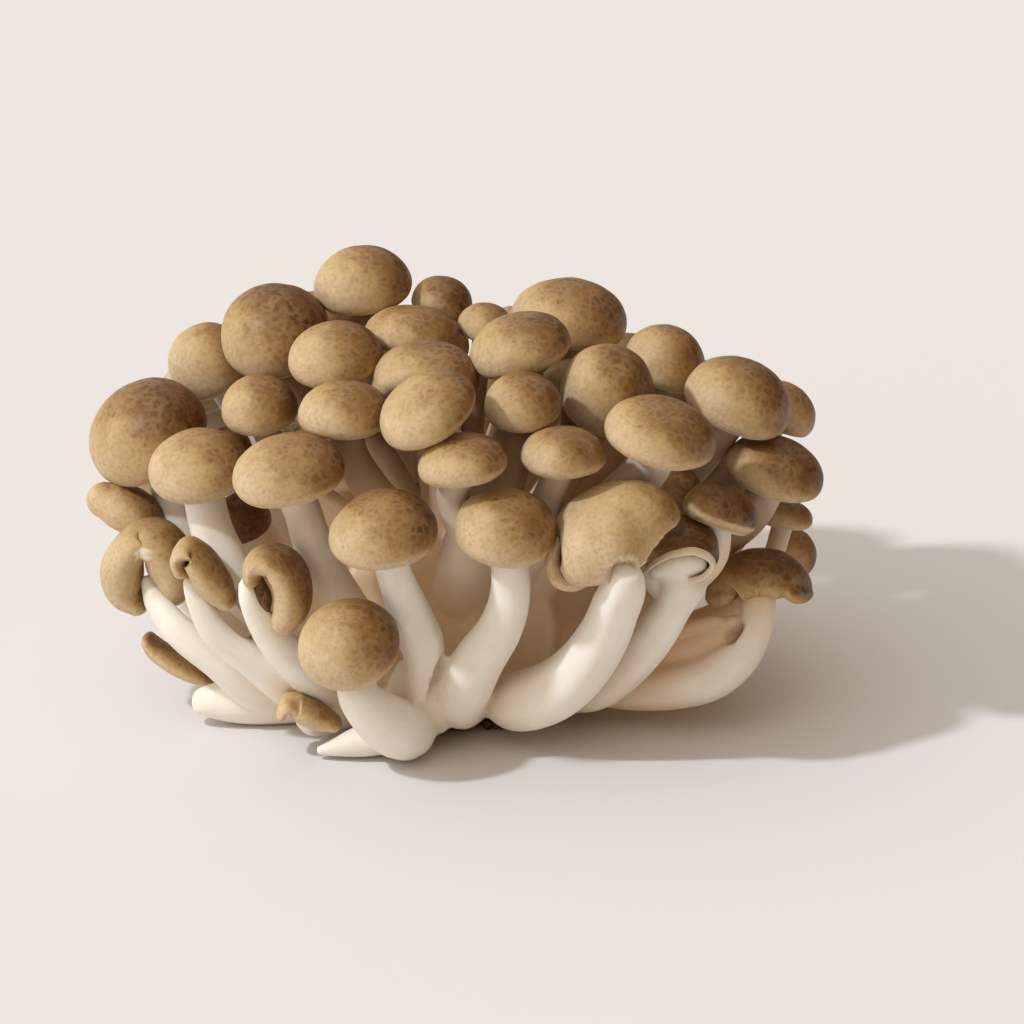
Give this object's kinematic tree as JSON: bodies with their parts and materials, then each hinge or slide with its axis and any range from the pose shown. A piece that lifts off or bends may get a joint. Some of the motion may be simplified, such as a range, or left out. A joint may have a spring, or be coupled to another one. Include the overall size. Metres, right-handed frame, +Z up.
{
  "type": "beech mushroom cluster",
  "caption": "Cluster of young brown beech mushrooms with rounded caps on thick pale stems that spread from a common foot, standing on its flat cut base.",
  "frame": {"origin": "middle of the flat cut under the foot, on the surface that the cluster stands on", "axes": "+Z up out of the cut, +X along the cluster's long side, +Y towards its back, so the front with the most bare stems faces -Y"},
  "size_m": [0.121, 0.0959, 0.072],
  "materials": {
    "stem_flesh": "matte warm white mushroom flesh with fine lengthwise fibres, slightly translucent",
    "cap_skin": "satin olive-tan cap skin, darker at the crown, with a pale net and small dark specks"
  },
  "bodies": {
    "root": {"stem_cluster": "stem_flesh", "cap_back_01": "cap_skin", "cap_back_02": "cap_skin", "cap_back_03": "cap_skin", "cap_back_04": "cap_skin", "cap_back_05": "cap_skin", "cap_back_06": "cap_skin", "cap_back_07": "cap_skin", "cap_back_08": "cap_skin", "cap_back_09": "cap_skin", "cap_back_10": "cap_skin", "cap_back_11": "cap_skin", "cap_back_12": "cap_skin", "cap_back_13": "cap_skin", "cap_back_14": "cap_skin", "cap_back_15": "cap_skin", "cap_crown_01": "cap_skin", "cap_crown_02": "cap_skin", "cap_crown_03": "cap_skin", "cap_crown_04": "cap_skin", "cap_crown_05": "cap_skin", "cap_crown_06": "cap_skin", "cap_crown_07": "cap_skin", "cap_crown_08": "cap_skin", "cap_crown_09": "cap_skin", "cap_crown_10": "cap_skin", "cap_crown_11": "cap_skin", "cap_front_01": "cap_skin", "cap_front_02": "cap_skin", "cap_front_03": "cap_skin", "cap_front_04": "cap_skin", "cap_front_05": "cap_skin", "cap_front_06": "cap_skin", "cap_front_07": "cap_skin", "cap_front_08": "cap_skin", "cap_left_01": "cap_skin", "cap_left_02": "cap_skin", "cap_left_03": "cap_skin", "cap_left_04": "cap_skin", "cap_left_05": "cap_skin", "cap_left_06": "cap_skin", "cap_left_07": "cap_skin", "cap_left_08": "cap_skin", "cap_left_09": "cap_skin", "cap_right_01": "cap_skin", "cap_right_02": "cap_skin", "cap_right_03": "cap_skin", "cap_right_04": "cap_skin", "cap_right_05": "cap_skin", "cap_right_06": "cap_skin", "cap_right_07": "cap_skin", "cap_shoulder_01": "cap_skin", "cap_shoulder_02": "cap_skin", "cap_shoulder_03": "cap_skin", "cap_shoulder_04": "cap_skin", "cap_shoulder_05": "cap_skin", "cap_shoulder_06": "cap_skin", "cap_shoulder_07": "cap_skin", "cap_shoulder_08": "cap_skin", "cap_shoulder_09": "cap_skin"}
  },
  "joints": []
}
